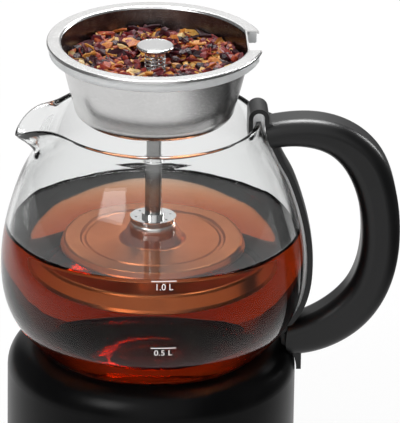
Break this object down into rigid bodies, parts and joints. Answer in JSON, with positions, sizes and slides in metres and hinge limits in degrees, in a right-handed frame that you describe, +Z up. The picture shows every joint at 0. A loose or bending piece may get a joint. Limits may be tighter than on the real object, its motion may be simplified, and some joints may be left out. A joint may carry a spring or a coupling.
{
  "type": "automatic tea maker",
  "caption": "Tea maker: round heating base with buttons, glass jug with spout and black handle, lift-out steel infuser with a riser bell and a sprung knob.",
  "frame": {"origin": "on the table, on the vertical axis of the base", "axes": "+Z up, handle along +X, spout along -X, buttons face -Y"},
  "size_m": [0.1996, 0.152, 0.2535],
  "materials": {
    "black_satin_plastic": "satin moulded black",
    "black_gloss_plastic": "gloss black panel",
    "button_plastic": "satin dark grey",
    "black_rubber": "matt rubber",
    "brushed_steel": "brushed stainless steel",
    "polished_steel": "polished stainless steel",
    "screw_steel": "zinc plated",
    "aluminium": "plain",
    "glass": "clear borosilicate",
    "clear_silicone": "translucent silicone",
    "lens_white": "clear light pipe",
    "circuit_green": "solder resist",
    "component_black": "moulded parts"
  },
  "bodies": {
    "base": {"base_housing": "black_satin_plastic", "base_bottom_cover": "black_satin_plastic", "rubber_feet": "black_rubber", "cover_screws": "screw_steel", "heating_plate": "brushed_steel", "plate_seal": "black_rubber", "heat_spreader": "aluminium", "temperature_sensor": "polished_steel", "heating_element": "aluminium", "heat_shield": "brushed_steel", "shield_screws": "screw_steel", "thermostat": "component_black", "thermal_fuse": "component_black", "control_fascia": "black_gloss_plastic", "indicator_lenses": "lens_white", "indicator_leds": "lens_white", "button_switches": "component_black", "control_board": "circuit_green", "board_screws": "screw_steel", "power_board": "circuit_green", "power_board_screws": "screw_steel", "relay": "component_black", "transformer": "component_black", "capacitor": "component_black", "terminal_block": "component_black", "cord_gland": "black_satin_plastic"},
    "jug": {"glass_jug": "glass", "handle_body": "black_satin_plastic", "handle_cover": "black_satin_plastic", "handle_screws": "screw_steel", "handle_liner": "clear_silicone"},
    "infuser": {"tea_basket": "brushed_steel", "basket_gasket": "clear_silicone", "basket_sieve": "brushed_steel", "basket_hub": "polished_steel", "basket_nut": "polished_steel", "upper_riser_tube": "brushed_steel", "tube_union": "polished_steel", "lower_riser_tube": "brushed_steel", "clamp_disc": "polished_steel", "riser_boss": "polished_steel", "bell_nut": "polished_steel", "riser_bell": "brushed_steel", "spray_head": "polished_steel", "knob_spring": "polished_steel"},
    "knob_body": {"knob": "polished_steel", "knob_stem": "polished_steel", "stem_ring": "polished_steel"},
    "brew_button_body": {"brew_button": "button_plastic"},
    "power_button_body": {"power_button": "button_plastic"},
    "warm_button_body": {"warm_button": "button_plastic"}
  },
  "joints": [
    {"name": "jug_lift", "type": "slide", "parent": "base", "child": "jug", "axis": [0, 0, 1], "range_m": [0, 0.08]},
    {"name": "infuser_lift", "type": "slide", "parent": "jug", "child": "infuser", "axis": [0, 0, 1], "range_m": [-0.0338, 0.093]},
    {"name": "knob_press", "type": "slide", "parent": "infuser", "child": "knob_body", "axis": [0, 0, -1], "range_m": [0, 0.0035], "stiffness_N_per_m": 300, "springref_m": -0.004, "deforming": ["knob_spring"]},
    {"name": "brew_button_press", "type": "slide", "parent": "base", "child": "brew_button_body", "axis": [0, 1, 0], "range_m": [0, 0.0012], "stiffness_N_per_m": 800, "springref_m": -0.0005},
    {"name": "power_button_press", "type": "slide", "parent": "base", "child": "power_button_body", "axis": [0, 1, 0], "range_m": [0, 0.0012], "stiffness_N_per_m": 800, "springref_m": -0.0005},
    {"name": "warm_button_press", "type": "slide", "parent": "base", "child": "warm_button_body", "axis": [0, 1, 0], "range_m": [0, 0.0012], "stiffness_N_per_m": 800, "springref_m": -0.0005}
  ]
}
